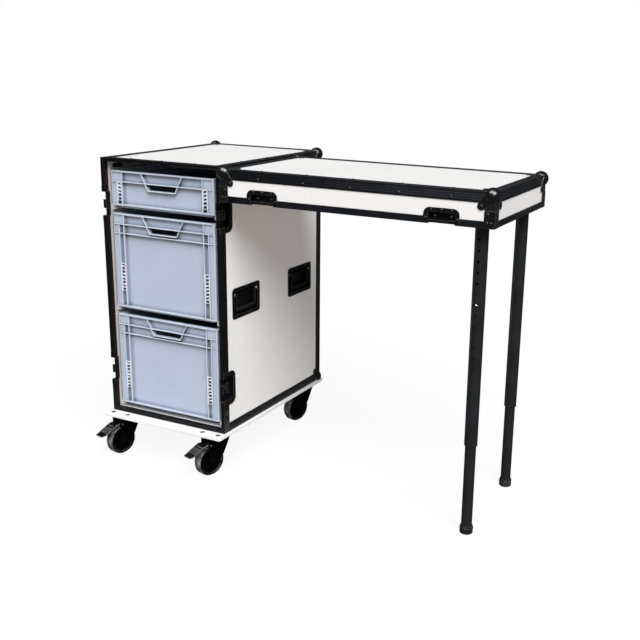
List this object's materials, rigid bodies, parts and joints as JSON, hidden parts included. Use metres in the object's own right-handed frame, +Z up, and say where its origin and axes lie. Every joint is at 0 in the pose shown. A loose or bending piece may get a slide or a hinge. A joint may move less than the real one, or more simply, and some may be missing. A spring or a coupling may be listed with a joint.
{
  "type": "portable toolbox workbench",
  "caption": "White edged tool case on a castor board, with stacking boxes as drawers and its lid hung at the side as a table top on telescopic legs.",
  "frame": {"origin": "on the floor, under the middle of the whole object", "axes": "+X from the case towards the table's free end, +Y from the open front to the back, +Z up"},
  "size_m": [1.3589, 0.7418, 1.0165],
  "materials": {
    "board_white": "satin laminate",
    "lining_wood": "laminate with raw edges",
    "runner_pale": "matt",
    "profile_black": "anodised satin",
    "fitting_black": "powder coat",
    "bolt_steel": "zinc plated",
    "box_plastic": "moulded, slight sheen",
    "leg_black": "powder coat",
    "button_steel": "bright",
    "foot_rubber": "matt",
    "latch_black": "powder coat",
    "grip_black": "powder coat",
    "fork_black": "powder coat",
    "hub_black": "moulded",
    "tyre_rubber": "matt",
    "pedal_black": "moulded"
  },
  "bodies": {
    "case": {"case_side_panels": "board_white", "case_top_panel": "board_white", "case_base_panel": "board_white", "case_back_panel": "board_white", "lining_boards": "lining_wood", "box_runners": "runner_pale", "front_frame": "profile_black", "edge_angles": "profile_black", "case_ball_corners": "fitting_black", "latch_dishes": "fitting_black", "handle_dishes": "fitting_black", "castor_board": "board_white", "castor_bolts": "bolt_steel", "castor_plates": "fitting_black", "case_hanger_rail": "profile_black"},
    "table": {"table_panel": "board_white", "table_walls": "board_white", "table_edge_angles": "profile_black", "table_closing_frame": "profile_black", "table_corner_fittings": "fitting_black", "table_keeper_dishes": "fitting_black", "table_hanger_rail": "profile_black", "leg_sockets": "fitting_black"},
    "box_bottom": {"box_bottom": "box_plastic"},
    "box_middle": {"box_middle": "box_plastic"},
    "box_top": {"box_top": "box_plastic"},
    "latch_wing_1": {"latch_wing_1": "latch_black"},
    "latch_hook_1": {"latch_hook_1": "latch_black"},
    "latch_wing_2": {"latch_wing_2": "latch_black"},
    "latch_hook_2": {"latch_hook_2": "latch_black"},
    "latch_wing_3": {"latch_wing_3": "latch_black"},
    "latch_hook_3": {"latch_hook_3": "latch_black"},
    "latch_wing_4": {"latch_wing_4": "latch_black"},
    "latch_hook_4": {"latch_hook_4": "latch_black"},
    "handle_grip_1": {"handle_grip_1": "grip_black"},
    "handle_grip_2": {"handle_grip_2": "grip_black"},
    "handle_grip_3": {"handle_grip_3": "grip_black"},
    "handle_grip_4": {"handle_grip_4": "grip_black"},
    "castor_1": {"castor_fork_1": "fork_black"},
    "wheel_1": {"castor_hub_1": "hub_black", "castor_tyre_1": "tyre_rubber"},
    "brake_pedal_1": {"brake_pedal_1": "pedal_black"},
    "castor_2": {"castor_fork_2": "fork_black"},
    "wheel_2": {"castor_hub_2": "hub_black", "castor_tyre_2": "tyre_rubber"},
    "brake_pedal_2": {"brake_pedal_2": "pedal_black"},
    "castor_3": {"castor_fork_3": "fork_black"},
    "wheel_3": {"castor_hub_3": "hub_black", "castor_tyre_3": "tyre_rubber"},
    "castor_4": {"castor_fork_4": "fork_black"},
    "wheel_4": {"castor_hub_4": "hub_black", "castor_tyre_4": "tyre_rubber"},
    "leg_outer_front": {"leg_outer_front": "leg_black"},
    "leg_inner_front": {"leg_inner_front": "leg_black", "leg_foot_front": "foot_rubber"},
    "leg_button_front": {"leg_button_front": "button_steel"},
    "leg_outer_back": {"leg_outer_back": "leg_black"},
    "leg_inner_back": {"leg_inner_back": "leg_black", "leg_foot_back": "foot_rubber"},
    "leg_button_back": {"leg_button_back": "button_steel"}
  },
  "joints": [
    {"name": "box_bottom_slide", "type": "slide", "parent": "case", "child": "box_bottom", "axis": [0, -1, 0], "range_m": [0, 0.45]},
    {"name": "box_middle_slide", "type": "slide", "parent": "case", "child": "box_middle", "axis": [0, -1, 0], "range_m": [0, 0.45]},
    {"name": "box_top_slide", "type": "slide", "parent": "case", "child": "box_top", "axis": [0, -1, 0], "range_m": [0, 0.45]},
    {"name": "latch_wing_1_turn", "type": "hinge", "parent": "case", "child": "latch_wing_1", "pos_m": [-0.2204, -0.24058, 0.295], "axis": [1, 0, 0], "range_deg": [0, 180]},
    {"name": "latch_hook_1_slide", "type": "slide", "parent": "case", "child": "latch_hook_1", "axis": [0, -1, 0], "range_m": [0, 0.01]},
    {"name": "latch_wing_2_turn", "type": "hinge", "parent": "case", "child": "latch_wing_2", "pos_m": [-0.2204, -0.24058, 0.857], "axis": [1, 0, 0], "range_deg": [0, 180]},
    {"name": "latch_hook_2_slide", "type": "slide", "parent": "case", "child": "latch_hook_2", "axis": [0, -1, 0], "range_m": [0, 0.01]},
    {"name": "latch_wing_3_turn", "type": "hinge", "parent": "case", "child": "latch_wing_3", "pos_m": [-0.6596, -0.24058, 0.295], "axis": [-1, 0, 0], "range_deg": [0, 180]},
    {"name": "latch_hook_3_slide", "type": "slide", "parent": "case", "child": "latch_hook_3", "axis": [0, -1, 0], "range_m": [0, 0.01]},
    {"name": "latch_wing_4_turn", "type": "hinge", "parent": "case", "child": "latch_wing_4", "pos_m": [-0.6596, -0.24058, 0.857], "axis": [-1, 0, 0], "range_deg": [0, 180]},
    {"name": "latch_hook_4_slide", "type": "slide", "parent": "case", "child": "latch_hook_4", "axis": [0, -1, 0], "range_m": [0, 0.01]},
    {"name": "handle_grip_1_turn", "type": "hinge", "parent": "case", "child": "handle_grip_1", "pos_m": [-0.2175, -0.13058, 0.591], "axis": [0, -1, 0], "range_deg": [0, 90], "stiffness_Nm_per_rad": 0.4, "springref_deg": -17.19},
    {"name": "handle_grip_2_turn", "type": "hinge", "parent": "case", "child": "handle_grip_2", "pos_m": [-0.2175, 0.21042, 0.591], "axis": [0, -1, 0], "range_deg": [0, 90], "stiffness_Nm_per_rad": 0.4, "springref_deg": -17.19},
    {"name": "handle_grip_3_turn", "type": "hinge", "parent": "case", "child": "handle_grip_3", "pos_m": [-0.6625, -0.13058, 0.591], "axis": [0, 1, 0], "range_deg": [0, 90], "stiffness_Nm_per_rad": 0.4, "springref_deg": -17.19},
    {"name": "handle_grip_4_turn", "type": "hinge", "parent": "case", "child": "handle_grip_4", "pos_m": [-0.6625, 0.21042, 0.591], "axis": [0, 1, 0], "range_deg": [0, 90], "stiffness_Nm_per_rad": 0.4, "springref_deg": -17.19},
    {"name": "castor_1_swivel", "type": "hinge", "parent": "case", "child": "castor_1", "pos_m": [-0.625, -0.24758, 0.1267], "axis": [0, 0, 1], "continuous": true},
    {"name": "wheel_1_roll", "type": "hinge", "parent": "castor_1", "child": "wheel_1", "pos_m": [-0.63371, -0.28251, 0.05], "axis": [0.9703, -0.2419, 0], "continuous": true},
    {"name": "brake_pedal_1_press", "type": "hinge", "parent": "castor_1", "child": "brake_pedal_1", "pos_m": [-0.63492, -0.28736, 0.108], "axis": [0.9703, -0.2419, 0], "range_deg": [0, 10.5]},
    {"name": "castor_2_swivel", "type": "hinge", "parent": "case", "child": "castor_2", "pos_m": [-0.255, -0.24758, 0.1267], "axis": [0, 0, 1], "continuous": true},
    {"name": "wheel_2_roll", "type": "hinge", "parent": "castor_2", "child": "wheel_2", "pos_m": [-0.26613, -0.28182, 0.05], "axis": [0.9511, -0.309, 0], "continuous": true},
    {"name": "brake_pedal_2_press", "type": "hinge", "parent": "castor_2", "child": "brake_pedal_2", "pos_m": [-0.26767, -0.28657, 0.108], "axis": [0.9511, -0.309, 0], "range_deg": [0, 10.5]},
    {"name": "castor_3_swivel", "type": "hinge", "parent": "case", "child": "castor_3", "pos_m": [-0.625, 0.30642, 0.1267], "axis": [0, 0, 1], "continuous": true},
    {"name": "wheel_3_roll", "type": "hinge", "parent": "castor_3", "child": "wheel_3", "pos_m": [-0.63432, 0.27165, 0.05], "axis": [0.9659, -0.2588, 0], "continuous": true},
    {"name": "castor_4_swivel", "type": "hinge", "parent": "case", "child": "castor_4", "pos_m": [-0.255, 0.30642, 0.1267], "axis": [0, 0, 1], "continuous": true},
    {"name": "wheel_4_roll", "type": "hinge", "parent": "castor_4", "child": "wheel_4", "pos_m": [-0.26432, 0.27165, 0.05], "axis": [0.9659, -0.2588, 0], "continuous": true},
    {"name": "table_lift", "type": "slide", "parent": "case", "child": "table", "axis": [0, 0, 1], "range_m": [0, 0.05]},
    {"name": "leg_front_unplug", "type": "slide", "parent": "table", "child": "leg_outer_front", "axis": [0, 0, -1], "range_m": [0, 0.065]},
    {"name": "leg_front_extend", "type": "slide", "parent": "leg_outer_front", "child": "leg_inner_front", "axis": [0, 0, -1], "range_m": [-0.183, 0.183]},
    {"name": "leg_front_button_press", "type": "slide", "parent": "leg_inner_front", "child": "leg_button_front", "axis": [0, 1, 0], "range_m": [0, 0.0045], "stiffness_N_per_m": 600, "springref_m": -0.002},
    {"name": "leg_back_unplug", "type": "slide", "parent": "table", "child": "leg_outer_back", "axis": [0, 0, -1], "range_m": [0, 0.065]},
    {"name": "leg_back_extend", "type": "slide", "parent": "leg_outer_back", "child": "leg_inner_back", "axis": [0, 0, -1], "range_m": [-0.183, 0.183]},
    {"name": "leg_back_button_press", "type": "slide", "parent": "leg_inner_back", "child": "leg_button_back", "axis": [0, -1, 0], "range_m": [0, 0.0045], "stiffness_N_per_m": 600, "springref_m": -0.002}
  ],
  "couplings": [
    {"joint": "latch_wing_1_turn", "follows": "latch_hook_1_slide", "rad_per_m": 314.16},
    {"joint": "latch_wing_2_turn", "follows": "latch_hook_2_slide", "rad_per_m": 314.16},
    {"joint": "latch_wing_3_turn", "follows": "latch_hook_3_slide", "rad_per_m": 314.16},
    {"joint": "latch_wing_4_turn", "follows": "latch_hook_4_slide", "rad_per_m": 314.16}
  ]
}
